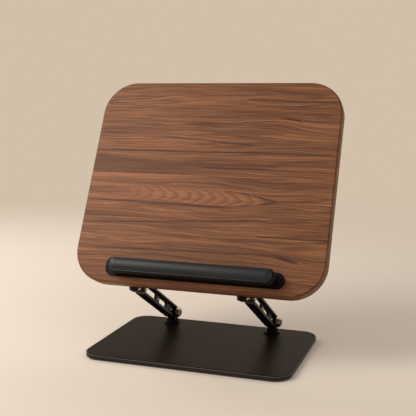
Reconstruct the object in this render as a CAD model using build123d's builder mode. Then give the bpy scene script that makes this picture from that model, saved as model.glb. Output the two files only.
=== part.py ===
"""Adjustable book stand: a wooden board with a padded ledge, carried by two hinged steel arms on a steel base.

Frame: origin on the table under the middle of the base, +X to the reader's right, +Y to the back, +Z up.
The stand is drawn as it is used: the arms lean forward and the board leans back over the base.
"""
import os
from math import acos, cos, radians, sin

from build123d import *

os.makedirs("parts", exist_ok=True)

# Base plate and its rubber feet
base_width = 275.0
base_depth = 188.0
base_corner = 22.5
plate_thickness = 5.5
plate_edge = 1.5
foot_diameter = 22.0
foot_height = 1.8
foot_pocket = 0.8
foot_inset = 24.0
foot_play = 0.1

# Lower hinge: one round-flanged bracket under each arm, with two ears that take the arm's web between them
arm_spacing = 150.0
hinge_inset = 23.0
hinge_height = 23.4
flange_diameter = 22.5
flange_thickness = 2.6
ear_thickness = 4.6
ear_diameter = 12.4
ear_stem = 9.2
ear_flare = 18.0
ear_flare_height = 4.6

# Arms: a web with two windows, a wide lower rail on both sides of it and an upper rail on its right
arm_length = 117.0
arm_incline = 30.2
arm_left_width = 6.2
arm_right_width = 7.0
arm_depth = 18.5
web_thickness = 2.4
lower_rail_thickness = 3.6
upper_rail_thickness = 2.6
arm_tip_radius = 6.6
lower_rail_start = 5.5
lower_rail_overrun = 9.5
upper_rail_stop = 10.5
window_height = 9.4
window_corner = 2.5
window_land = 14.5
lower_window_start = 31.0
upper_window_length = 36.0
upper_window_to_hinge = 5.5
upper_window_stop = arm_length - upper_window_to_hinge
upper_window = (upper_window_stop - upper_window_length, upper_window_stop)
lower_window = (lower_window_start, upper_window[0] - window_land)
groove_width = 1.2
groove_depth = 0.5
groove_pitch = 5.0
groove_margin = 4.0

# Stiffener riveted to the left face of each web
stiffener_thickness = 1.2
stiffener_start = 8.5
stiffener_to_upper_window = 2.0
stiffener_stop = upper_window[0] - stiffener_to_upper_window
lower_rivet_at = 12.0
upper_rivet_to_window = 7.0
rivet_at = (lower_rivet_at, lower_window[1] + upper_rivet_to_window)
rivet_radius = 1.6
rivet_head_radius = 2.5
rivet_head_height = 1.2

# Bolts and pins of the hinges
bolt_radius = 4.0
bolt_head_radius = 6.2
bolt_head_height = 2.8
washer_radius = 6.8
washer_thickness = 1.2
nut_flats = 13.0
nut_height = 4.0
nut_collar_height = 1.1
nut_collar_radius = 5.7
bolt_overrun = 0.5
pin_radius = 2.5
pin_head_radius = 3.4
pin_head_height = 1.2
spacer_radius = 4.4
spacer_thickness = 3.6
bush_radius = 4.1
bush_length = 2.2
clip_radius = 4.0
clip_thickness = 1.0
hex_socket_flats = 3.0
hex_socket_depth = 1.2

# Board and the brackets on its back
board_width = 340.0
board_height = 290.0
board_thickness = 18.0
board_corner = 46.0
board_tilt = 63.7
front_round = 3.0
back_bevel = 1.0
hinge_setback = 9.7
hinge_rise = 0.4
leaf_width = 40.0
leaf_height = 42.0
leaf_thickness = 2.5
leaf_corner = 5.0
leaf_shift = 4.0
leaf_margin = 1.0
knuckle_width = 12.4
knuckle_radius = 5.2
knuckle_taper = 4.0
knuckle_end_radius = 3.6

# Ledge: a moulded trough with a crowned rubber pad on its front lip
ledge_width = 242.0
ledge_height = 21.0
ledge_rise = 9.0
ledge_flange = 2.5
ledge_depth = 24.0
trough_width = 226.0
trough_height = 19.5
trough_rise = 10.8
floor_thickness = 3.0
lip_thickness = 2.5
pad_width = 218.0
pad_height = 18.2
pad_rise = 12.2
pad_rim_thickness = 1.8
pad_rim_width = 1.0
pad_thickness = 5.0

# Screws
base_screw_radius = 2.0
base_screw_head = 3.8
base_screw_length = 9.0
base_screw_pitch = 10.0
leaf_screw_radius = 1.9
leaf_screw_head = 3.6
leaf_screw_length = 15.0
leaf_screw_inset = 6.5
leaf_screw_low = 16.0
ledge_screw_radius = 1.7
ledge_screw_head = 3.3
ledge_screw_length = 15.0
ledge_screw_at = (-95.0, -38.0, 38.0, 95.0)
driver_hole_radius = 4.2

# Clearances
running_fit = 0.05
side_play = 0.3
swing_play = 0.4

# Places worked out from the sizes above
plate_top = foot_height + plate_thickness
hinge_y = base_depth / 2 - hinge_inset
flange_top = plate_top + flange_thickness
half_depth = arm_depth / 2
inside_low = half_depth - lower_rail_thickness
inside_high = half_depth - upper_rail_thickness
web_left = 0.0
web_right = web_left + web_thickness
rail_middle = (arm_right_width - arm_left_width) / 2
ears_left = web_left - side_play - ear_thickness
ears_right = web_right + side_play + ear_thickness
fork_floor = hinge_height - half_depth - swing_play
arm_run = cos(radians(arm_incline))
arm_lift = sin(radians(arm_incline))
tip_y = hinge_y - arm_length * arm_run
tip_z = hinge_height + arm_length * arm_lift
board_run = cos(radians(board_tilt))
board_lift = sin(radians(board_tilt))
face_y = tip_y - (hinge_setback + board_thickness) * board_lift - hinge_rise * board_run
face_z = tip_z + (hinge_setback + board_thickness) * board_run - hinge_rise * board_lift
sides = {"left": -arm_spacing / 2, "right": arm_spacing / 2}

# The reading face: local x to the right, local y up the board from its bottom edge, local z out of the face
face = Plane(origin=(0, face_y, face_z), x_dir=(1, 0, 0), z_dir=(0, -board_lift, board_run))
# The back of the board: local x to the right, local y down the board, local z out of the back
back_origin = face.from_local_coords((0, 0, -board_thickness))
back = Plane(origin=back_origin, x_dir=(1, 0, 0), z_dir=(0, board_lift, -board_run))


def side_view(x):
    """Plane square to X: local x is the frame's Y, local y its Z, and an extrusion goes to the right."""
    return Plane(origin=(x, 0, 0), x_dir=(0, 1, 0), z_dir=(1, 0, 0))


def along_arm(x):
    """Plane on an arm: local x runs from the lower to the upper hinge, and an extrusion goes to the left."""
    return Plane(origin=(x, hinge_y, hinge_height), x_dir=(0, -arm_run, arm_lift), z_dir=(-1, 0, 0))


def across(x, y, z):
    """Place on a hinge axis, pointing to the right."""
    return Plane(origin=(x, y, z), x_dir=(0, 1, 0), z_dir=(1, 0, 0))


def save(piece, name):
    """Name a finished piece and write its file."""
    piece.part.label = name
    export_step(piece.part, f"parts/{name}.step")


def disc(radius, height):
    """A plain cylinder that stands on its place."""
    return Cylinder(radius, height, align=(Align.CENTER, Align.CENTER, Align.MIN))


def flat_head_screws(places, radius, head_radius, length):
    """Countersunk screws with a hex socket, each driven along the z of its place with its head flush there."""
    head_height = head_radius - radius
    with BuildPart() as screws:
        with Locations(*places):
            Cone(head_radius, radius, head_height, align=(Align.CENTER, Align.CENTER, Align.MIN))
            disc(radius, length)
            with BuildPart(mode=Mode.PRIVATE) as socket:
                with BuildSketch():
                    RegularPolygon(hex_socket_flats / 2, 6, major_radius=False)
                extrude(amount=hex_socket_depth)
            add(socket.part, mode=Mode.SUBTRACT)
    return screws


# Base plate
base_screw_points = [(x, hinge_y + dy) for x in sides.values() for dy in (-base_screw_pitch / 2, base_screw_pitch / 2)]
foot_grid = (base_width - 2 * foot_inset, base_depth - 2 * foot_inset)
with BuildPart() as base_plate:
    with BuildSketch(Plane.XY.offset(foot_height)):
        RectangleRounded(base_width, base_depth, base_corner)
    extrude(amount=plate_thickness)
    fillet(base_plate.faces().sort_by(Axis.Z)[-1].edges(), min(plate_edge, 0.4 * plate_thickness))
    with BuildSketch(Plane.XY.offset(foot_height)):
        with GridLocations(*foot_grid, 2, 2):
            Circle(foot_diameter / 2 + foot_play)
    extrude(amount=foot_pocket, mode=Mode.SUBTRACT)
    with Locations(*[Plane(origin=(x, y, foot_height), z_dir=(0, 0, -1)) for x, y in base_screw_points]):
        CounterSinkHole(base_screw_radius + running_fit, base_screw_head + running_fit, depth=plate_thickness)
save(base_plate, "base_plate")

# Rubber feet, each in a shallow pocket of the plate
foot_names = ("front_left_foot", "rear_left_foot", "front_right_foot", "rear_right_foot")
foot_points = [(sx * foot_grid[0] / 2, sy * foot_grid[1] / 2) for sx in (-1, 1) for sy in (-1, 1)]
for name, point in zip(foot_names, foot_points):
    with BuildPart() as foot:
        with BuildSketch():
            with Locations(point):
                Circle(foot_diameter / 2)
        extrude(amount=foot_height + foot_pocket)
        fillet(foot.edges().sort_by(Axis.Z)[0], min(0.6, foot_height / 3))
    save(foot, name)

# Base brackets: a round flange on the plate and a forked lug that takes the arm's web
for side, x in sides.items():
    with BuildPart() as base_bracket:
        with BuildSketch(Plane.XY.offset(plate_top)):
            with Locations((x, hinge_y)):
                Circle(flange_diameter / 2)
        extrude(amount=flange_thickness)
        fillet(base_bracket.edges().sort_by(Axis.Z)[-1], flange_thickness / 3)
        with BuildSketch(side_view(x + ears_left)):
            with BuildLine():
                Polyline(
                    (hinge_y - ear_flare / 2, plate_top),
                    (hinge_y - ear_flare / 2, flange_top),
                    (hinge_y - ear_stem / 2, flange_top + ear_flare_height),
                    (hinge_y - ear_stem / 2, hinge_height),
                    (hinge_y + ear_stem / 2, hinge_height),
                    (hinge_y + ear_stem / 2, flange_top + ear_flare_height),
                    (hinge_y + ear_flare / 2, flange_top),
                    (hinge_y + ear_flare / 2, plate_top),
                    close=True,
                )
            make_face()
            with Locations((hinge_y, hinge_height)):
                Circle(ear_diameter / 2)
                Circle(bolt_radius + running_fit, mode=Mode.SUBTRACT)
        extrude(amount=ears_right - ears_left)
        with BuildSketch(side_view(x + web_left - side_play)):
            with Locations((hinge_y, fork_floor + arm_depth)):
                Rectangle(2 * arm_depth, 2 * arm_depth)
        extrude(amount=web_thickness + 2 * side_play, mode=Mode.SUBTRACT)
        with BuildSketch(Plane.XY.offset(plate_top)):
            with Locations(*[point for point in base_screw_points if point[0] == x]):
                Circle(base_screw_radius + running_fit)
        extrude(amount=base_screw_length - plate_thickness + 0.3, mode=Mode.SUBTRACT)
    save(base_bracket, f"{side}_base_bracket")

# Screws that come up through the plate into the brackets
base_screws = flat_head_screws(
    [Plane(origin=(x, y, foot_height), z_dir=(0, 0, 1)) for x, y in base_screw_points],
    base_screw_radius,
    base_screw_head,
    base_screw_length,
)
save(base_screws, "base_bracket_screws")

# Lower hinge: bolt through both ears and the web, washer and nut on the right
head_left = ears_left - bolt_head_height
washer_right = ears_right + washer_thickness
nut_right = washer_right + nut_height
with BuildPart() as hinge_bolts:
    with Locations(*[across(x + head_left, hinge_y, hinge_height) for x in sides.values()]):
        disc(bolt_head_radius, bolt_head_height)
        disc(bolt_radius, nut_right + nut_collar_height + bolt_overrun - head_left)
    fillet(hinge_bolts.edges().filter_by(GeomType.CIRCLE).filter_by(lambda e: e.radius > bolt_radius + 1), 0.7)
save(hinge_bolts, "lower_hinge_bolts")

with BuildPart() as hinge_washers:
    with Locations(*[across(x + ears_right, hinge_y, hinge_height) for x in sides.values()]):
        disc(washer_radius, washer_thickness)
        Hole(bolt_radius + running_fit)
save(hinge_washers, "lower_hinge_washers")

with BuildPart() as hinge_nuts:
    for x in sides.values():
        with BuildSketch(across(x + washer_right, hinge_y, hinge_height)):
            RegularPolygon(nut_flats / 2, 6, major_radius=False)
            Circle(nut_flats / 2 * 1.09, mode=Mode.INTERSECT)
        extrude(amount=nut_height)
        with BuildSketch(across(x + nut_right, hinge_y, hinge_height)):
            Circle(nut_collar_radius)
        extrude(amount=nut_collar_height)
        with BuildSketch(across(x + washer_right, hinge_y, hinge_height)):
            Circle(bolt_radius + running_fit)
        extrude(amount=nut_height + nut_collar_height, mode=Mode.SUBTRACT)
save(hinge_nuts, "lower_hinge_nuts")

# Arms: the upper rail turns down round the lower hinge as far as the bracket's stem allows
wrap_angle = acos((ear_stem / 2 + swing_play) / inside_high)
for side, x in sides.items():
    with BuildPart() as arm:
        # The whole bar, from which the spaces beside the web are cut
        with BuildSketch(along_arm(x + arm_right_width)):
            with BuildLine():
                Polyline(
                    (0, -half_depth),
                    (0, half_depth),
                    (arm_length - upper_rail_stop, half_depth),
                    (arm_length, arm_tip_radius),
                    (arm_length + arm_tip_radius, -inside_low),
                    (arm_length + lower_rail_overrun, -inside_low),
                    (arm_length + lower_rail_overrun, -half_depth),
                    close=True,
                )
            make_face()
            Circle(half_depth)
            with Locations((arm_length, 0)):
                Circle(arm_tip_radius)
        extrude(amount=arm_left_width + arm_right_width)
        fillet(arm.edges().filter_by(Plane.YZ).filter_by(GeomType.LINE), 0.6)
        # Right of the web: open between the rails, at both ends, and under the lower hinge
        with BuildSketch(along_arm(x + arm_right_width)):
            with BuildLine():
                Polyline(
                    (0, inside_high),
                    (arm_length - upper_rail_stop, inside_high),
                    (arm_length - upper_rail_stop, arm_depth),
                    (arm_length + arm_depth, arm_depth),
                    (arm_length + arm_depth, -inside_low),
                    (lower_rail_start, -inside_low),
                    (lower_rail_start, -arm_depth),
                    (-arm_depth, -arm_depth),
                    (-arm_depth * sin(wrap_angle), arm_depth * cos(wrap_angle)),
                    (0, 0),
                    close=True,
                )
            make_face()
            Circle(inside_high)
        extrude(amount=arm_right_width - web_right, mode=Mode.SUBTRACT)
        # Left of the web: nothing stands above the lower rail
        with BuildSketch(along_arm(x + web_left)):
            with BuildLine():
                Polyline(
                    (-arm_depth, arm_depth),
                    (arm_length + arm_depth, arm_depth),
                    (arm_length + arm_depth, -inside_low),
                    (lower_rail_start, -inside_low),
                    (lower_rail_start, -arm_depth),
                    (-arm_depth, -arm_depth),
                    close=True,
                )
            make_face()
        extrude(amount=arm_left_width + web_left, mode=Mode.SUBTRACT)
        with BuildSketch(along_arm(x + web_right)):
            for start, stop in (lower_window, upper_window):
                with Locations(((start + stop) / 2, 0)):
                    RectangleRounded(stop - start, window_height, window_corner)
            with Locations(*[(s, 0) for s in rivet_at]):
                Circle(rivet_radius + running_fit)
            Circle(bolt_radius + running_fit)
            with Locations((arm_length, 0)):
                Circle(pin_radius + running_fit)
        extrude(amount=web_thickness, mode=Mode.SUBTRACT)
        groove_start = lower_rail_start + groove_margin
        groove_stop = arm_length - groove_margin
        groove_plane = Plane(
            origin=along_arm(x + rail_middle).from_local_coords((0, -half_depth, 0)),
            x_dir=(0, -arm_run, arm_lift),
            z_dir=(0, -arm_lift, -arm_run),
        )
        with BuildSketch(groove_plane):
            groove_middle = (groove_start + groove_stop) / 2
            with Locations((groove_middle, -groove_pitch / 2), (groove_middle, groove_pitch / 2)):
                SlotOverall(groove_stop - groove_start, groove_width)
        extrude(amount=-groove_depth, mode=Mode.SUBTRACT)
    save(arm, f"{side}_arm")

    with BuildPart() as stiffener:
        with BuildSketch(along_arm(x + web_left)):
            with Locations(((stiffener_start + stiffener_stop) / 2, 0)):
                RectangleRounded(stiffener_stop - stiffener_start, 2 * inside_low, window_corner)
            with Locations((sum(lower_window) / 2, 0)):
                RectangleRounded(lower_window[1] - lower_window[0], window_height, window_corner, mode=Mode.SUBTRACT)
            with Locations(*[(s, 0) for s in rivet_at]):
                Circle(rivet_radius + running_fit, mode=Mode.SUBTRACT)
        extrude(amount=stiffener_thickness)
    save(stiffener, f"{side}_arm_stiffener")

    # Rivets: a round head on the right of the web and a low head on the stiffener
    with BuildPart() as rivets:
        with Locations(*[along_arm(x + web_right + rivet_head_height) * Pos(s, 0, 0) for s in rivet_at]):
            disc(rivet_head_radius, rivet_head_height)
            disc(rivet_radius, 2 * rivet_head_height + web_thickness + stiffener_thickness)
        with Locations(*[along_arm(x + web_left - stiffener_thickness) * Pos(s, 0, 0) for s in rivet_at]):
            disc(rivet_head_radius, rivet_head_height)
        fillet(rivets.edges().filter_by(GeomType.CIRCLE).group_by(Axis.X)[-1], 0.8)
    save(rivets, f"{side}_arm_rivets")

# Upper hinge: the pin goes through the knuckle, a spacer, a bronze bush and the web, and ends in a spring clip
bush_left = web_left - side_play - bush_length
spacer_left = bush_left - spacer_thickness
knuckle_left = spacer_left - knuckle_width
clip_left = web_right + side_play
with BuildPart() as hinge_pins:
    with Locations(*[across(x + knuckle_left - pin_head_height, tip_y, tip_z) for x in sides.values()]):
        disc(pin_head_radius, pin_head_height)
        disc(pin_radius, clip_left + 2 * clip_thickness - knuckle_left + pin_head_height)
    fillet(hinge_pins.edges().filter_by(GeomType.CIRCLE).filter_by(lambda e: e.radius > pin_radius + 0.5), 0.4)
save(hinge_pins, "upper_hinge_pins")

with BuildPart() as spacers:
    with Locations(*[across(x + spacer_left, tip_y, tip_z) for x in sides.values()]):
        disc(spacer_radius, spacer_thickness)
        Hole(pin_radius + running_fit)
save(spacers, "upper_hinge_spacers")

with BuildPart() as bushes:
    with Locations(*[across(x + bush_left, tip_y, tip_z) for x in sides.values()]):
        disc(bush_radius, bush_length)
        Hole(pin_radius + running_fit)
save(bushes, "upper_hinge_bushes")

with BuildPart() as clips:
    with Locations(*[across(x + clip_left, tip_y, tip_z) for x in sides.values()]):
        disc(clip_radius, clip_thickness)
        Hole(pin_radius + running_fit)
save(clips, "upper_hinge_clips")

# Board brackets: a leaf on the back of the board and a knuckle that carries the pin
leaf_middle = knuckle_left + leaf_width / 2 - leaf_shift / 2
leaf_screw_points = [
    (dx, -up)
    for dx in (-leaf_width / 2 + leaf_screw_inset, leaf_width / 2 - leaf_screw_inset)
    for up in (leaf_screw_low, leaf_margin + leaf_height - leaf_screw_inset)
]
for side, x in sides.items():
    leaf_x = x + leaf_middle
    with BuildPart() as board_bracket:
        with BuildSketch(back):
            with Locations((leaf_x, -leaf_margin - leaf_height / 2)):
                RectangleRounded(leaf_width, leaf_height, leaf_corner)
        extrude(amount=leaf_thickness)
        neck_plane = Plane(
            origin=(x + knuckle_left + knuckle_taper, tip_y, tip_z), x_dir=(0, board_run, board_lift), z_dir=(1, 0, 0)
        )
        with BuildSketch(neck_plane):
            with BuildLine():
                Polyline(
                    (-hinge_rise + leaf_margin, hinge_setback),
                    (-knuckle_radius, 0),
                    (knuckle_radius, 0),
                    (knuckle_radius * 1.4, hinge_setback),
                    close=True,
                )
            make_face()
            Circle(knuckle_radius)
        extrude(amount=knuckle_width - knuckle_taper)
        with Locations(across(x + knuckle_left, tip_y, tip_z)):
            Cone(knuckle_end_radius, knuckle_radius, knuckle_taper, align=(Align.CENTER, Align.CENTER, Align.MIN))
            Cylinder(pin_radius + running_fit, 2 * knuckle_width + 1, mode=Mode.SUBTRACT)
        with Locations(*[back.offset(leaf_thickness) * Pos(leaf_x + dx, down, 0) for dx, down in leaf_screw_points]):
            CounterSinkHole(leaf_screw_radius + running_fit, leaf_screw_head + running_fit, depth=leaf_thickness)
    save(board_bracket, f"{side}_board_bracket")

leaf_screw_places = [
    back.offset(leaf_thickness) * Pos(x + leaf_middle + dx, down, 0) * Rot(180, 0, 0)
    for x in sides.values()
    for dx, down in leaf_screw_points
]
leaf_screws = flat_head_screws(leaf_screw_places, leaf_screw_radius, leaf_screw_head, leaf_screw_length)
save(leaf_screws, "board_bracket_screws")

# Board, with pilot holes for the screws of its brackets and ledge
ledge_screw_rise = trough_rise + (floor_thickness + trough_height) / 2
ledge_screw_places = [
    face.offset(ledge_flange) * Pos(screw_x, ledge_screw_rise, 0) * Rot(180, 0, 0) for screw_x in ledge_screw_at
]
with BuildPart() as board:
    with BuildSketch(face):
        with Locations((0, board_height / 2)):
            RectangleRounded(board_width, board_height, board_corner)
    extrude(amount=-board_thickness)
    front_face = board.faces().sort_by(Axis(face.origin, face.z_dir))[-1]
    back_face = board.faces().sort_by(Axis(face.origin, face.z_dir))[0]
    fillet(front_face.edges(), min(front_round, board_thickness / 3))
    chamfer(back_face.edges(), min(back_bevel, board_thickness / 6))
    with Locations(*leaf_screw_places):
        Cylinder(leaf_screw_radius + running_fit, 2 * leaf_screw_length + 1, mode=Mode.SUBTRACT)
    with Locations(*ledge_screw_places):
        Cylinder(ledge_screw_radius + running_fit, 2 * ledge_screw_length + 1, mode=Mode.SUBTRACT)
save(board, "board")

# Ledge: back flange, floor and lip in one moulding, open at the top and at both ends
lip_front = ledge_depth - pad_thickness
lip_back = lip_front - lip_thickness
with BuildPart() as ledge:
    with BuildSketch(face):
        with Locations((0, trough_rise + trough_height / 2)):
            SlotOverall(trough_width, trough_height)
    extrude(amount=lip_front)
    with BuildSketch(face.offset(ledge_flange)):
        with Locations((0, trough_rise + floor_thickness + trough_height / 2)):
            Rectangle(ledge_width, trough_height)
    extrude(amount=lip_back - ledge_flange, mode=Mode.SUBTRACT)
    with BuildSketch(face):
        with Locations((0, ledge_rise + ledge_height / 2)):
            SlotOverall(ledge_width, ledge_height)
    extrude(amount=ledge_flange)
    with Locations(*[face.offset(ledge_flange) * Pos(screw_x, ledge_screw_rise, 0) for screw_x in ledge_screw_at]):
        CounterSinkHole(ledge_screw_radius + running_fit, ledge_screw_head + running_fit, depth=ledge_flange)
    with BuildSketch(face.offset(lip_back)):
        with Locations(*[(screw_x, ledge_screw_rise) for screw_x in ledge_screw_at]):
            Circle(driver_hole_radius)
    extrude(amount=lip_thickness, mode=Mode.SUBTRACT)
save(ledge, "ledge_body")

ledge_screws = flat_head_screws(ledge_screw_places, ledge_screw_radius, ledge_screw_head, ledge_screw_length)
save(ledge_screws, "ledge_screws")

# Rubber pad: a flat rim and a crown, drawn as one arc across the pad and turned about each rounded end
crown_half = pad_height / 2 - pad_rim_width
crown_height = pad_thickness - pad_rim_thickness
crown_straight = pad_width - pad_height
pad_middle = pad_rise + pad_height / 2
with BuildPart() as pad:
    with BuildSketch(face.offset(lip_front)):
        with Locations((0, pad_middle)):
            SlotOverall(pad_width, pad_height)
    extrude(amount=pad_rim_thickness)
    crown_origin = face.from_local_coords((-crown_straight / 2, pad_middle, lip_front + pad_rim_thickness))
    with BuildSketch(Plane(origin=crown_origin, x_dir=(0, board_run, board_lift), z_dir=(1, 0, 0))):
        with BuildLine():
            ThreePointArc((-crown_half, 0), (0, crown_height), (crown_half, 0))
            Line((-crown_half, 0), (crown_half, 0))
        make_face()
    extrude(amount=crown_straight)
    for end in (-1, 1):
        end_origin = face.from_local_coords((end * crown_straight / 2, pad_middle, lip_front + pad_rim_thickness))
        with BuildSketch(Plane(origin=end_origin, x_dir=(1, 0, 0), z_dir=(0, -board_run, -board_lift))):
            with BuildLine():
                ThreePointArc((-crown_half, 0), (0, crown_height), (crown_half, 0))
                Line((-crown_half, 0), (crown_half, 0))
            make_face()
            with Locations((crown_half, crown_height)):
                Rectangle(2 * crown_half, 4 * crown_height, mode=Mode.SUBTRACT)
        revolve(axis=Axis(end_origin, face.z_dir), revolution_arc=360)
save(pad, "ledge_pad")
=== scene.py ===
"""Looks of an adjustable book stand: walnut board, padded ledge, hinged black arms and a steel base."""
from math import cos, pi, radians, sin

import bmesh
import bpy
from mathutils import Matrix, Vector


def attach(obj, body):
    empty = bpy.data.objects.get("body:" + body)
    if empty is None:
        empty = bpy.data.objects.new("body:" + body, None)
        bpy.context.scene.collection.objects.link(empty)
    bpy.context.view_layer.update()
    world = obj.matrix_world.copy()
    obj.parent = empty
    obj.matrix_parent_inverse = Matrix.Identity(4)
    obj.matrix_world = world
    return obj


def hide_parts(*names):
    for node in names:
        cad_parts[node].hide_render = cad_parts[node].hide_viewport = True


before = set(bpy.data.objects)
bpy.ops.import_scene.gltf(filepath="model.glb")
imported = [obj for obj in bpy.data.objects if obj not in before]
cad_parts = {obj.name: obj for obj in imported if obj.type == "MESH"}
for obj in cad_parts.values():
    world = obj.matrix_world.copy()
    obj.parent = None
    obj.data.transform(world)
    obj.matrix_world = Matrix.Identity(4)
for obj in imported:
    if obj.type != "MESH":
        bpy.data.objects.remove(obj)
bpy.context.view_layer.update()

# Places and sizes taken from the part, in metres
board_tilt = radians(63.7)
arm_incline = radians(30.2)
hinge_x, hinge_y, hinge_height = 0.075, 0.071, 0.0234
web_thickness, web_and_stiffener = 0.0024, 0.0036
rivet_diameter, rivet_rise, first_rivet, last_rivet = 0.005, 0.0012, 0.012, 0.068
lip_front = 0.019
pad_length, pad_height, pad_rise, pad_depth = 0.218, 0.0182, 0.0122, 0.005
face_origin = Vector((0.0, -0.055130, 0.094168))
to_right = Vector((1.0, 0.0, 0.0))
up_board = Vector((0.0, cos(board_tilt), sin(board_tilt)))
out_of_face = Vector((0.0, -sin(board_tilt), cos(board_tilt)))
along_arm = Vector((0.0, -cos(arm_incline), sin(arm_incline)))
above_arm = Vector((0.0, sin(arm_incline), cos(arm_incline)))

# Tones as a screen shows them: red, green and blue from 0 to 255
walnut_dark, walnut_middle = (112, 72, 48), (146, 96, 65)
walnut_warm, walnut_light = (160, 107, 73), (176, 121, 84)
walnut_line, walnut_band, walnut_knot = (72, 41, 27), (88, 52, 34), (52, 29, 20)
# The plate's two rim greys are painted light: a paler side and a painted highlight along its upper edge
coat_black, coat_brown, painted_rim_light, painted_edge_highlight = (15, 9, 7), (22, 14, 11), (47, 44, 41), (124, 120, 114)
paint_black, paint_worn = (8, 7, 7), (46, 44, 42)
moulding_dark, moulding_pale = (4, 3, 3), (8, 7, 6)
pad_dark, pad_pale = (8, 14, 21), (16, 23, 31)
foot_black, foot_dust = (22, 22, 22), (58, 55, 52)
nickel, nickel_stain = (205, 203, 198), (150, 144, 136)
bronze_dark, bronze_pale = (128, 98, 72), (168, 136, 104)
oxide_black, oxide_worn = (38, 37, 38), (96, 93, 90)
floor_tone, backdrop_tone, room_tone = (224, 212, 200), (210, 192, 170), (245, 238, 228)


def rgba(tone):
    """A tone in the linear numbers that a shader takes, opaque."""
    linear = ((v / 255 / 12.92) if v <= 10 else (((v / 255 + 0.055) / 1.055) ** 2.4) for v in tone)
    return (*linear, 1.0)


def into_scene(name, data):
    """A new object in the scene."""
    holder = bpy.data.objects.new(name, data)
    bpy.context.scene.collection.objects.link(holder)
    return holder


# Nodes written as Python, for the finishes, the shapes and the room


class Number:
    """A number that varies over a piece. An expression on it adds its Math nodes."""

    def __init__(self, nodes, socket):
        self.nodes = nodes
        self.socket = socket

    def join(self, operation, *values):
        return self.nodes.add("ShaderNodeMath", {"operation": operation}, dict(enumerate(values))).number()

    def __add__(self, other):
        return self.join("ADD", self, other)

    def __sub__(self, other):
        return self.join("SUBTRACT", self, other)

    def __rsub__(self, other):
        return self.join("SUBTRACT", other, self)

    def __mul__(self, other):
        return self.join("MULTIPLY", self, other)

    def __pow__(self, other):
        return self.join("POWER", self, other)

    __radd__ = __add__
    __rmul__ = __mul__

    def absolute(self):
        return self.join("ABSOLUTE", self)

    def between(self, low, high):
        """0 at low and 1 at high, smoothly; low may be the larger."""
        settings = {"interpolation_type": "SMOOTHSTEP"}
        inputs = {"Value": self, "From Min": low, "From Max": high}
        return self.nodes.add("ShaderNodeMapRange", settings, inputs).number("Result")

    def near(self, middle, reach):
        """1 at middle, and 0 from reach on either side of it."""
        return (self - middle).absolute().between(reach, 0.0)

    def span(self, start, full, fading, end):
        """0 up to start, 1 from full to fading, and 0 again from end."""
        return self.between(start, full) * self.between(end, fading)

    def rings(self, start, crest):
        """Once in every whole number: 0 up to start, a slow rise to 1 at crest, and a sharp fall."""
        return self.join("FRACT", self).span(start, crest, crest, 1.0)


class Made:
    """A node that was just added, with short ways to its outputs."""

    def __init__(self, nodes, node):
        self.nodes = nodes
        self.node = node

    def number(self, output=0):
        return Number(self.nodes, self.node.outputs[output])

    def link(self, output=0):
        return self.node.outputs[output]


class Nodes:
    """A node tree that is filled by method calls."""

    def __init__(self, tree):
        self.tree = tree

    def add(self, kind, settings=(), inputs=()):
        """Adds a node: first its settings, with a ramp's stops or a curve's points, then its sockets."""
        node = self.tree.nodes.new(kind)
        for key, value in dict(settings).items():
            if key == "stops":
                for position, colour in value[len(node.color_ramp.elements):]:
                    node.color_ramp.elements.new(position)
                for element, (position, colour) in zip(node.color_ramp.elements, value):
                    element.position = position
                    element.color = colour
            elif key == "points":
                curve = node.mapping.curves[0]
                for position, height in value[len(curve.points):]:
                    curve.points.new(position, height)
                for point, place in zip(curve.points, value):
                    point.location = place
                    point.handle_type = "VECTOR"
                node.mapping.update()
            else:
                setattr(node, key, value)
        for key, value in dict(inputs).items():
            self.feed(node.inputs[key], value)
        return Made(self, node)

    def feed(self, socket, value):
        if isinstance(value, Number):
            value = value.socket
        if isinstance(value, bpy.types.NodeSocket):
            self.tree.links.new(value, socket)
        else:
            socket.default_value = value

    def axes(self, place):
        """The three numbers of a place."""
        parts = self.add("ShaderNodeSeparateXYZ", (), {0: place})
        return [parts.number(axis) for axis in ("X", "Y", "Z")]

    def joined(self, x, y=0.0, z=0.0):
        return self.add("ShaderNodeCombineXYZ", (), {0: x, 1: y, 2: z}).link()

    def seen_or_mirrored(self):
        """1 for what the camera sees straight or in a shiny surface, 0 for what only gives light."""
        path = self.add("ShaderNodeLightPath")
        straight = path.number("Is Camera Ray")
        return straight.join("MAXIMUM", straight, path.number("Is Glossy Ray"))


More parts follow.
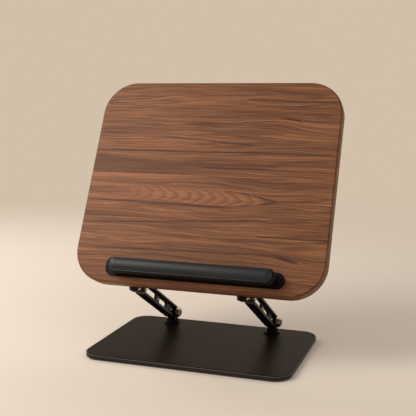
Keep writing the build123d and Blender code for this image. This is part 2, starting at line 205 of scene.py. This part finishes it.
class Finish(Nodes):
    """One material, built on its principled shader."""

    def __init__(self, name, **constants):
        self.material = bpy.data.materials.new(name)
        self.material.use_nodes = True
        super().__init__(self.material.node_tree)
        self.shader = self.tree.nodes["Principled BSDF"]
        self.place = self.add("ShaderNodeTexCoord").link("Object")
        for name, value in constants.items():
            self.shader.inputs[name.replace("_", " ")].default_value = value

    def stretched(self, place, *scale):
        """The place, with each axis multiplied by its scale."""
        return self.add("ShaderNodeMapping", (), {"Vector": place, "Scale": scale}).link()

    def noise(self, place, scale, detail=2.0, roughness=0.5):
        inputs = {"Vector": place, "Scale": scale, "Detail": detail, "Roughness": roughness}
        return self.add("ShaderNodeTexNoise", (), inputs).number("Fac")

    def grain(self, place, along, over, detail=2.0, roughness=0.5):
        """Noise drawn out along x: one scale along it, another over it."""
        return self.noise(self.stretched(place, along, over, over), 1.0, detail, roughness)

    def ramp(self, value, *stops):
        """A tone at each of some rising values, blended in between."""
        settings = {"stops": [(position, rgba(tone)) for position, tone in stops]}
        return self.add("ShaderNodeValToRGB", settings, {"Fac": value}).link("Color")

    def mix(self, factor, first, second):
        """First at factor 0, second at factor 1: each is a tone or the link of a colour."""
        first, second = (rgba(colour) if isinstance(colour, tuple) else colour for colour in (first, second))
        return self.add("ShaderNodeMix", {"data_type": "RGBA"}, {0: factor, 6: first, 7: second}).link(2)

    def dress(self, colour, roughness, relief, depth, strength=0.5):
        """Feeds what changes over the surface into the shader, with a relief this deep in metres."""
        inputs = {"Height": relief, "Distance": depth, "Strength": strength}
        bump = self.add("ShaderNodeBump", (), inputs).link()
        for name, value in (("Base Color", colour), ("Roughness", roughness), ("Normal", bump)):
            self.feed(self.shader.inputs[name], value)
        return self.material


# Where the walnut's marks lie, in centimetres on the board: across from its middle, up from its lower edge
knot_places = ((10.4, 23.3), (12.1, 4.7))
figure_middle, figure_height, figure_fall, figure_end = 1.3, 12.36, 0.029, 9.2
band_edge = 15.30
# Where the grain bends: the height of each bend and its reach
upper_dip, lower_dip = (22.4, 2.6), (4.4, 2.4)
swell_above, swell_below = (14.6, 2.4), (10.9, 2.4)
# For each long line: where it starts and ends, its height in the middle, its slope, how far it fades upwards
line_places = (
    (-18.0, 18.0, 18.65, 0.002, 0.55),
    (3.0, 18.0, 26.10, -0.028, 0.30),
    (-5.0, 9.5, 22.95, 0.050, 0.25),
    (-8.0, 7.0, 20.30, -0.080, 0.30),
    (-17.0, -7.0, 26.45, 0.070, 0.25),
    (-18.0, 5.0, 11.15, -0.022, 0.60),
    (-18.0, 13.0, 8.85, 0.062, 0.30),
    (-18.0, 16.0, 4.90, 0.020, 0.30),
    (7.0, 18.0, 7.35, 0.0, 0.30),
    (-3.0, 18.0, 16.35, -0.015, 0.30),
)


def walnut():
    """Flat-cut walnut under satin oil: fine grain across the board, one arched figure below its middle."""
    finish = Finish("walnut", Specular_IOR_Level=0.20)
    # The place in centimetres on the board: x across, y up it, z out of its face
    settings = {"vector_type": "TEXTURE"}
    inputs = {
        "Vector": finish.place,
        "Location": tuple(face_origin),
        "Rotation": (board_tilt, 0.0, 0.0),
        "Scale": (0.01, 0.01, 0.01),
    }
    place = finish.add("ShaderNodeMapping", settings, inputs).link()
    across, up, out = finish.axes(place)

    # What bends the grain: a slow sway, a finer ripple, a dip right of each knot, a swell round the figure
    sway = (finish.grain(place, 0.05, 0.20) - 0.5) * 1.5
    ripple = (finish.grain(place, 0.26, 1.1, 3.0, 0.55) - 0.5) * 0.34
    dip = across.between(7.5, 16.5) * (up.near(*upper_dip) + up.near(*lower_dip)) * 0.85
    swell = across.near(figure_middle, 9.5) * (up.near(*swell_above) - up.near(*swell_below)) * -0.45
    height = up + sway + ripple + dip + swell
    bent = finish.joined(across, height, out)

    # Grain of four widths, all long across the board and thin up it
    broad = finish.grain(bent, 0.022, 0.60, 2.0, 0.6)
    streak = finish.grain(bent, 0.042, 2.1, 3.0, 0.6)
    fine = finish.grain(bent, 0.095, 6.5, 3.0, 0.6)
    fibre = finish.grain(bent, 0.40, 24.0, 2.0, 0.6)
    pores = finish.grain(bent, 2.0, 60.0, 1.0).between(0.64, 0.76)

    # Growth rings: each darkens slowly and ends in a sharp line
    wide_rings = (broad * 5.0 + streak * 0.7).rings(0.55, 0.95)
    thin_rings = (streak * 2.6 + broad * 2.0).rings(0.60, 0.92)
    hair = finish.grain(bent, 0.020, 1.3)
    hairlines = hair.near(0.50, 0.040) + hair.near(0.42, 0.036) + hair.near(0.58, 0.036)
    patch = finish.grain(place, 0.07, 0.45)

    # The figure: round arches that open to the left, inside a long drop that ends in a point on the right
    rise = (up - figure_height + across * figure_fall + ripple * 0.8).absolute()
    drop = across + rise * rise * 6.0
    inside = drop.between(10.2, 8.8) * across.between(-15.5, -3.0) * rise.between(1.35, 0.75)
    outside = 1.0 - inside
    unrest = (finish.grain(place, 0.30, 0.9) - 0.5) * 2.2
    arches = ((across + rise * rise * 1.7 + unrest) * 0.58).rings(0.25, 0.85) * inside
    tip = (across + rise * rise * 7.0).near(figure_end, 1.1)
    tip = tip * across.between(1.0, 7.5) * rise.between(1.3, 0.9)
    border = drop.near(9.6, 0.5) * across.between(-2.0, 4.0) * rise.between(1.5, 1.1)
    point = tip + border * 0.4

    # Heartwood: a dark band above the figure with a sharp lower edge, paler wood under it, and two knots
    level = up + ripple * 0.8 + dip
    band = level.span(band_edge, 15.42, 16.6, 18.9) * across.between(10.0, -9.0)
    below_band = level.span(13.2, 15.0, band_edge, 15.38) * across.between(4.0, -9.0)
    knots = 0.0
    for x, y in knot_places:
        along = (across - x) * 0.50
        over = (height - y - 0.35 + (across - x) * 0.06) * 5.2
        knots = knots + (along * along + over * over).between(1.0, 0.15)
    long_lines = 0.0
    for start, end, middle, slope, fade in line_places:
        centre, half = (start + end) / 2, (end - start) / 2
        over = level - middle - (across - centre) * slope - unrest * 0.035
        ends = (across - centre).absolute().between(half, half * 0.7)
        long_lines = long_lines + over.span(-0.045, 0.015, 0.03, fade * 0.75) * ends

    tone = finish.ramp(
        broad * 0.45 + streak * 0.55,
        (0.30, walnut_dark),
        (0.44, walnut_middle),
        (0.56, walnut_warm),
        (0.72, walnut_light),
    )
    hair_depth = 0.20 + patch * 0.65 + across.between(-2.0, 13.0) * 0.15
    front_edge, back_edge = -0.05, -1.56
    for amount, stain in (
        (across.between(-14.0, 7.0) * 0.27, walnut_dark),
        (wide_rings * outside * (0.05 + patch * 0.70), walnut_line),
        (thin_rings * outside * (0.65 - patch * 0.60), walnut_line),
        (hairlines * outside * hair_depth, walnut_line),
        (fine.between(0.46, 0.66) * 0.38, walnut_line),
        (fine.between(0.44, 0.30) * 0.25, walnut_light),
        (fibre.between(0.40, 0.70) * 0.28, walnut_line),
        (inside * 0.25, walnut_warm),
        (arches * 0.42 + point * 0.75, walnut_line),
        (below_band * 0.45, walnut_warm),
        (band * 0.68, walnut_band),
        (long_lines * 0.75 + knots * 0.80, walnut_knot),
        (pores * 0.35, walnut_knot),
        # Painted shade: the side and the back are painted a little darker, and the rounded edges between them
        # get dark lines of painted shade
        (out.between(-0.002, front_edge) * 0.10, walnut_line),
        (out.near(front_edge, 0.05) * 0.70, walnut_knot),
        (out.near(back_edge, 0.21) * 0.80, walnut_knot),
    ):
        tone = finish.mix(amount, tone, stain)
    relief = fibre * 0.6 + pores * -0.9 + long_lines * -0.25
    return finish.dress(tone, 0.44 + 0.12 * fibre + 0.10 * pores, relief, 0.00010)


def powder_coat():
    """Fine textured black powder coat with a brown cast, as on the base plate and the lower brackets."""
    finish = Finish("powder_coat", Specular_IOR_Level=0.045)
    grit = finish.noise(finish.place, 2600.0, 2.0, 0.6)
    cloud = finish.noise(finish.place, 14.0, 3.0)
    coat_streaks = finish.grain(finish.place, 9.0, 38.0)
    # Painted light: the plate's rim is painted paler on its side, and a painted highlight runs along its
    # upper edge
    rim_top, rim_full, edge_height, edge_reach = 0.00645, 0.0058, 0.00625, 0.00045
    height = finish.axes(finish.place)[2]
    tone = finish.mix(cloud, coat_black, coat_brown)
    tone = finish.mix(height.between(rim_top, rim_full), tone, painted_rim_light)
    tone = finish.mix(height.near(edge_height, edge_reach) * (0.45 + 0.6 * coat_streaks), tone, painted_edge_highlight)
    return finish.dress(tone, 0.30 + 0.08 * coat_streaks + 0.05 * grit, grit, 0.00005)


def arm_black():
    """Satin black paint of the arms and the board's brackets, a little worn to grey."""
    finish = Finish("arm_black", Specular_IOR_Level=0.27)
    grit = finish.noise(finish.place, 1900.0, 2.0, 0.6)
    drawn_out = finish.stretched(finish.place, 60.0, 420.0, 160.0)
    scuff = finish.noise(drawn_out, 1.0, 3.0, 0.7).between(0.62, 0.80)
    tone = finish.mix(scuff * 0.35, paint_black, paint_worn)
    return finish.dress(tone, 0.36 + 0.10 * grit - 0.08 * scuff, grit, 0.00004)


def ledge_moulding():
    """Black moulded trough with the fine spark texture of its mould."""
    finish = Finish("ledge_moulding", Specular_IOR_Level=0.11)
    spark = finish.noise(finish.place, 3200.0, 1.0)
    cloud = finish.noise(finish.place, 30.0)
    tone = finish.mix(cloud, moulding_dark, moulding_pale)
    return finish.dress(tone, 0.42 + 0.12 * spark, spark, 0.00004, 0.6)


def pad_rubber():
    """Soft satin rubber of the ledge pad, dull where hands have touched it."""
    finish = Finish("pad_rubber", Specular_IOR_Level=0.38)
    inputs = {"Vector": finish.place, "Scale": 1500.0}
    grain = finish.add("ShaderNodeTexVoronoi", {"feature": "F1"}, inputs).number("Distance")
    touch = finish.grain(finish.place, 16.0, 60.0, 3.0, 0.6)
    tone = finish.mix(touch, pad_dark, pad_pale)
    return finish.dress(tone, 0.34 + 0.14 * touch + 0.05 * grain, grain, 0.00003)


def foot_rubber():
    """Matt black rubber of the feet with a little dust."""
    finish = Finish("foot_rubber", Specular_IOR_Level=0.3)
    dust = finish.noise(finish.place, 220.0, 3.0, 0.6).between(0.5, 0.8)
    tone = finish.mix(dust * 0.4, foot_black, foot_dust)
    return finish.dress(tone, 0.72 + 0.15 * dust, dust, 0.00003, 0.4)


def plated_steel():
    """Nickel-plated steel of the nuts, pins, spacers and rivets, with fine turning marks round each axis."""
    finish = Finish("plated_steel", Metallic=1.0)
    turning = finish.grain(finish.place, 5200.0, 260.0, 2.0, 0.6)
    stain = finish.noise(finish.place, 240.0, 3.0, 0.6).between(0.45, 0.75)
    tone = finish.mix(stain * 0.35, nickel, nickel_stain)
    return finish.dress(tone, 0.20 + 0.12 * turning + 0.14 * stain, turning, 0.00002)


def bush_bronze():
    """Dull sintered bronze of the bushes."""
    finish = Finish("bush_bronze", Metallic=1.0)
    pits = finish.noise(finish.place, 1800.0, 2.0, 0.6)
    stain = finish.noise(finish.place, 190.0, 3.0, 0.6)
    tone = finish.mix(stain, bronze_dark, bronze_pale)
    return finish.dress(tone, 0.38 + 0.20 * pits, pits, 0.00003)


def black_oxide():
    """Oil-blacked steel of the bolts and the screws."""
    finish = Finish("black_oxide", Metallic=0.7)
    wear = finish.noise(finish.place, 700.0, 3.0, 0.6).between(0.52, 0.74)
    tone = finish.mix(wear * 0.5, oxide_black, oxide_worn)
    return finish.dress(tone, 0.34 + 0.16 * wear, wear, 0.00002, 0.4)


finishes = {
    "walnut": walnut(),
    "powder_coat": powder_coat(),
    "arm_black": arm_black(),
    "ledge_moulding": ledge_moulding(),
    "pad_rubber": pad_rubber(),
    "foot_rubber": foot_rubber(),
    "plated_steel": plated_steel(),
    "bush_bronze": bush_bronze(),
    "black_oxide": black_oxide(),
}
worn_by = {
    "walnut": ("board",),
    "powder_coat": ("base_plate", "left_base_bracket", "right_base_bracket"),
    "arm_black": (
        "left_arm",
        "right_arm",
        "left_arm_stiffener",
        "right_arm_stiffener",
        "left_board_bracket",
        "right_board_bracket",
    ),
    "ledge_moulding": ("ledge_body",),
    "pad_rubber": ("ledge_pad",),
    "foot_rubber": ("front_left_foot", "rear_left_foot", "front_right_foot", "rear_right_foot"),
    "plated_steel": (
        "lower_hinge_washers",
        "lower_hinge_nuts",
        "left_arm_rivets",
        "right_arm_rivets",
        "upper_hinge_pins",
        "upper_hinge_spacers",
        "upper_hinge_clips",
    ),
    "bush_bronze": ("upper_hinge_bushes",),
    "black_oxide": ("lower_hinge_bolts", "base_bracket_screws", "board_bracket_screws", "ledge_screws"),
}
for finish_name, nodes in worn_by.items():
    for node in nodes:
        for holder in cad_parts[node].material_slots:
            holder.material = finishes[finish_name]


class Shape(Nodes):
    """A Geometry Nodes tree that makes one piece from named sizes, in a flat frame of its own."""

    def __init__(self, name, **sizes):
        super().__init__(bpy.data.node_groups.new(name, "GeometryNodeTree"))
        self.tree.interface.new_socket("Geometry", in_out="OUTPUT", socket_type="NodeSocketGeometry")
        self.values = {}
        for size, value in sizes.items():
            kind = "NodeSocketInt" if isinstance(value, int) else "NodeSocketFloat"
            socket = self.tree.interface.new_socket(size, in_out="INPUT", socket_type=kind)
            self.values[socket.identifier] = value
        self.entry = self.add("NodeGroupInput")

    def size(self, name):
        return self.entry.number(name)

    def outline(self, length, width, steps):
        """A closed curve: a bar of this length and width with round ends, or a circle when they are equal."""
        inputs = {"Resolution": steps, "Radius": width * 0.5}
        circle = self.add("GeometryNodeCurvePrimitiveCircle", (), inputs).link()
        across = self.axes(self.add("GeometryNodeInputPosition").link())[0]
        apart = across.join("SIGN", across) * (length - width) * 0.5
        inputs = {"Geometry": circle, "Offset": self.joined(apart)}
        bar = self.add("GeometryNodeSetPosition", (), inputs).link()
        return self.add("GeometryNodeSetCurveNormal", {"mode": "Z_UP"}, {"Curve": bar}).link()

    def profile(self, points, reach, depth):
        """An open curve through points that give shares of the reach inwards and of the depth outwards."""
        last = len(points) - 1
        line = self.add("GeometryNodeCurvePrimitiveLine").link()
        inputs = {"Curve": line, "Count": len(points)}
        evenly = self.add("GeometryNodeResampleCurve", {"mode": "COUNT"}, inputs).link()
        share = self.add("GeometryNodeSplineParameter").link("Factor")
        inward, outward = (
            self.add(
                "ShaderNodeFloatCurve",
                {"points": [(i / last, point[axis]) for i, point in enumerate(points)]},
                {"Value": share},
            ).number()
            for axis in (0, 1)
        )
        place = self.joined(inward * reach * -1.0, outward * depth * -1.0)
        return self.add("GeometryNodeSetPosition", (), {"Geometry": evenly, "Position": place}).link()

    def sweep(self, path, profile):
        """Carries the profile round the path and closes what meets in the middle."""
        swept = self.add("GeometryNodeCurveToMesh", (), {"Curve": path, "Profile Curve": profile}).link()
        return self.add("GeometryNodeMergeByDistance", (), {"Geometry": swept, "Distance": 0.00001}).link()

    def mesh(self, geometry, finish_name, place):
        """Ends the tree, runs it, and gives its result as a plain mesh in its place, faces outwards."""
        real = self.add("GeometryNodeRealizeInstances", (), {"Geometry": geometry}).link()
        smooth = self.add("GeometryNodeSetShadeSmooth", (), {"Geometry": real}).link()
        inputs = {"Geometry": smooth, "Material": finishes[finish_name]}
        dressed = self.add("GeometryNodeSetMaterial", (), inputs).link()
        self.add("NodeGroupOutput", (), {"Geometry": dressed})
        maker = into_scene(self.tree.name, bpy.data.meshes.new("start"))
        modifier = maker.modifiers.new("shape", "NODES")
        modifier.node_group = self.tree
        for identifier, value in self.values.items():
            modifier[identifier] = value
        maker.update_tag()
        result = maker.evaluated_get(bpy.context.evaluated_depsgraph_get())
        mesh = bpy.data.meshes.new_from_object(result)
        maker.modifiers.remove(modifier)
        bpy.data.objects.remove(maker)
        shape = bmesh.new()
        shape.from_mesh(mesh)
        bmesh.ops.transform(shape, matrix=place, verts=shape.verts)
        bmesh.ops.recalc_face_normals(shape, faces=shape.faces)
        shape.to_mesh(mesh)
        shape.free()
        return mesh


def placed(origin, x_axis, y_axis):
    """The matrix that puts a flat frame in a place: its x and y along these axes, its z square to both."""
    z_axis = x_axis.cross(y_axis)
    return Matrix((
        (x_axis.x, y_axis.x, z_axis.x, origin.x),
        (x_axis.y, y_axis.y, z_axis.y, origin.y),
        (x_axis.z, y_axis.z, z_axis.z, origin.z),
        (0.0, 0.0, 0.0, 1.0),
    ))


def ledge_pad_mesh():
    """The pad: a flat back, an upright rim with a soft bead, a shallow groove, and a full crown inside it."""
    shape = Shape("padded_bar", Length=pad_length, Width=pad_height, Depth=pad_depth, Steps=58)
    rim = [
        (1.0, 0.0), (0.07, 0.0), (0.012, 0.05), (0.0, 0.16), (0.004, 0.27),
        (0.04, 0.345), (0.085, 0.36), (0.125, 0.33), (0.155, 0.335), (0.20, 0.42),
    ]
    crown_start, crown_fullness = 0.36, 2.3
    crown = [
        (1.0 - share, crown_start + (1.0 - crown_start) * (1.0 - share ** crown_fullness))
        for share in (0.72, 0.62, 0.5, 0.38, 0.25, 0.12, 0.0)
    ]
    width = shape.size("Width")
    path = shape.outline(shape.size("Length"), width, shape.size("Steps"))
    section = shape.profile(rim + crown, width * 0.5, shape.size("Depth"))
    middle = face_origin + (pad_rise + pad_height / 2) * up_board + lip_front * out_of_face
    return shape.mesh(shape.sweep(path, section), "pad_rubber", placed(middle, to_right, up_board))


def rivet_heads_mesh(hinge_side):
    """Domed heads on the right of the web and flatter ones on its stiffener, at each rivet along an arm."""
    sizes = {"Diameter": rivet_diameter, "Rise": rivet_rise, "First": first_rivet, "Last": last_rivet}
    shape = Shape("rivet_heads", **sizes, Count=2, Steps=30)
    width, rise = shape.size("Diameter"), shape.size("Rise")
    dome = [
        (1.0, 0.0), (0.0, 0.0), (0.0, 0.22), (0.06, 0.48),
        (0.18, 0.70), (0.36, 0.88), (0.62, 0.98), (1.0, 1.0),
    ]
    low = [(1.0, 0.0), (0.0, 0.0), (0.0, 0.45), (0.05, 0.62), (0.14, 0.70), (1.0, 0.70)]
    inputs = {
        "Count": shape.size("Count"),
        "Start Location": shape.joined(shape.size("First")),
        "Offset": shape.joined(shape.size("Last")),
    }
    line = shape.add("GeometryNodeMeshLine", {"mode": "END_POINTS"}, inputs).link()
    both = shape.add("GeometryNodeJoinGeometry")
    for section, turn, down in ((dome, 0.0, 0.0), (low, pi, -web_and_stiffener)):
        path = shape.outline(width, width, shape.size("Steps"))
        head = shape.sweep(path, shape.profile(section, width * 0.5, rise))
        inputs = {"Geometry": head, "Rotation": (turn, 0.0, 0.0), "Translation": (0.0, 0.0, down)}
        turned = shape.add("GeometryNodeTransform", (), inputs).link()
        heads = shape.add("GeometryNodeInstanceOnPoints", (), {"Points": line, "Instance": turned}).link()
        shape.feed(both.node.inputs["Geometry"], heads)
    web_face = Vector((hinge_side * hinge_x + web_thickness, hinge_y, hinge_height))
    return shape.mesh(both.link(), "plated_steel", placed(web_face, along_arm, -above_arm))


def piece_on(body, name, mesh):
    """Makes a mesh a piece that rides on a body."""
    piece = into_scene(name, mesh)
    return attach(piece, body)


pad = piece_on("board", "ledge_pad_cover", ledge_pad_mesh())
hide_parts("ledge_pad")

for side, hinge_side in (("left", -1.0), ("right", 1.0)):
    heads = piece_on(f"arm_{side}", f"{side}_arm_rivet_heads", rivet_heads_mesh(hinge_side))
    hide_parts(f"{side}_arm_rivets")


# Floor, room, light and camera


def pale_floor():
    """A pale floor that runs out into the backdrop's own tone, so that no horizon shows."""
    finish = Finish("pale_floor", Base_Color=rgba(floor_tone), Roughness=0.85, Specular_IOR_Level=0.15)
    fade_start, fade_end = 0.45, 1.7
    x, y, _ = finish.axes(finish.place)
    far = ((x * x + y * y) ** 0.5).between(fade_start, fade_end) * finish.seen_or_mirrored()
    glow = finish.add("ShaderNodeEmission", (), {"Color": rgba(backdrop_tone), "Strength": 1.0}).link()
    shaders = {0: far, 1: finish.shader.outputs["BSDF"], 2: glow}
    mixed = finish.add("ShaderNodeMixShader", (), shaders).link()
    finish.feed(finish.tree.nodes["Material Output"].inputs["Surface"], mixed)
    return finish.material


floor_mesh = bpy.data.meshes.new("floor")
floor_mesh.from_pydata([(-6, -6, 0), (6, -6, 0), (6, 6, 0), (-6, 6, 0)], [], [(0, 1, 2, 3)])
floor_mesh.materials.append(pale_floor())
into_scene("floor", floor_mesh)

world = bpy.data.worlds.new("soft_room")
bpy.context.scene.world = world
world.use_nodes = True
room = Nodes(world.node_tree)
room_light = room.tree.nodes["Background"]
room_light.inputs["Color"].default_value = rgba(room_tone)
room_light.inputs["Strength"].default_value = 0.50
backdrop = room.add("ShaderNodeBackground", (), {"Color": rgba(backdrop_tone), "Strength": 1.0}).link()
shaders = {0: room.seen_or_mirrored(), 1: room_light.outputs["Background"], 2: backdrop}
either = room.add("ShaderNodeMixShader", (), shaders).link()
room.feed(room.tree.nodes["World Output"].inputs["Surface"], either)

# Each lamp's place, what it is aimed at, its width and height in metres, its watts and its tint
for name, place, aim, size, watts, tint in (
    ("key_window", (-1.05, -0.85, 1.15), (0, 0, 0.15), (0.9, 0.9), 19.0, (1.0, 0.95, 0.88)),
    ("fill_wall", (1.8, -1.2, 1.2), (0, 0, 0.15), (1.6, 1.6), 6.0, (1.0, 0.96, 0.91)),
    ("back_glow", (0.4, 1.9, 1.8), (0, 0, 0.2), (2.2, 1.2), 8.0, (1.0, 0.97, 0.93)),
    ("edge_window", (-1.3, 0.55, 0.75), (-0.1, 0, 0.18), (0.5, 0.7), 7.0, (1.0, 0.97, 0.92)),
):
    lamp = bpy.data.lights.new(name, "AREA")
    lamp.shape = "RECTANGLE"
    lamp.size, lamp.size_y = size
    lamp.energy = watts
    lamp.color = tint
    holder = into_scene(name, lamp)
    holder.location = place
    holder.rotation_euler = (Vector(aim) - Vector(place)).to_track_quat("-Z", "Y").to_euler()

# The camera that was fitted to the photograph's outlines
photo_width, focal_length_in_pixels = 416, 786.405
looking_down, turned_left = 0.150753, 0.332709
camera_data = bpy.data.cameras.new("reader")
camera_data.sensor_width = 36.0
camera_data.lens = focal_length_in_pixels / photo_width * camera_data.sensor_width
camera = into_scene("reader", camera_data)
camera.location = (0.338499, -0.964152, 0.345832)
camera.rotation_euler = (pi / 2 - looking_down, 0.0, turned_left)
bpy.context.scene.camera = camera
bpy.context.scene.view_settings.view_transform = "Standard"
